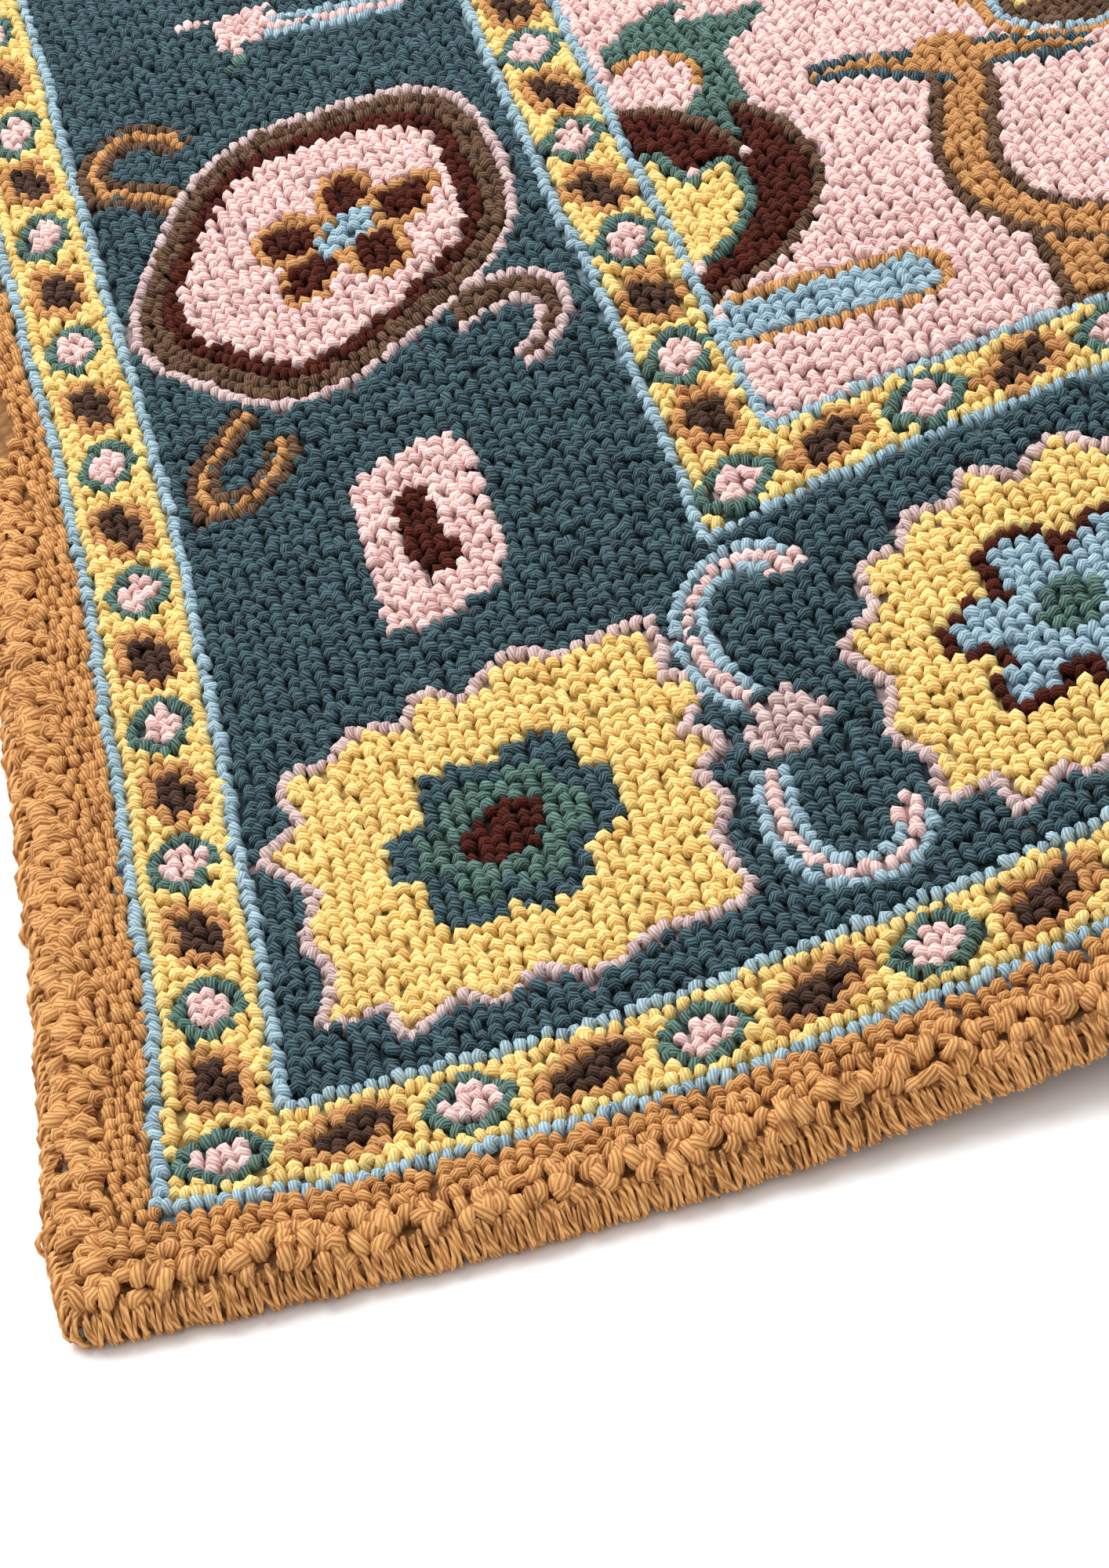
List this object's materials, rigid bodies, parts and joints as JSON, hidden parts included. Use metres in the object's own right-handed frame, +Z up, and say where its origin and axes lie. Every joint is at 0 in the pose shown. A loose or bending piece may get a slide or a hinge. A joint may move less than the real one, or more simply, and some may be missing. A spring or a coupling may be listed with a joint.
{
  "type": "hand-tufted rug",
  "caption": "Rectangular loop-pile wool rug with a patterned border, whipped edges and a woven backing, lying on the floor with one soft ripple near a corner.",
  "frame": {"origin": "on the floor under the middle of the rug's box", "axes": "+Y along the rug's length, away from the front edge; +X along its width; +Z up from the floor"},
  "size_m": [1.617, 2.4419, 0.0587],
  "materials": {
    "tufted_wool": "matt looped wool in camel, yellow, teal, pink, light blue and browns",
    "backing_weave": "plain woven cotton, matt",
    "whipping_yarn": "overcast camel wool yarn, matt"
  },
  "bodies": {
    "root": {"tufted_pile": "tufted_wool", "backing_cloth": "backing_weave", "whipped_edge_front": "whipping_yarn", "whipped_edge_back": "whipping_yarn", "whipped_edge_left": "whipping_yarn", "whipped_edge_right": "whipping_yarn"}
  },
  "joints": []
}
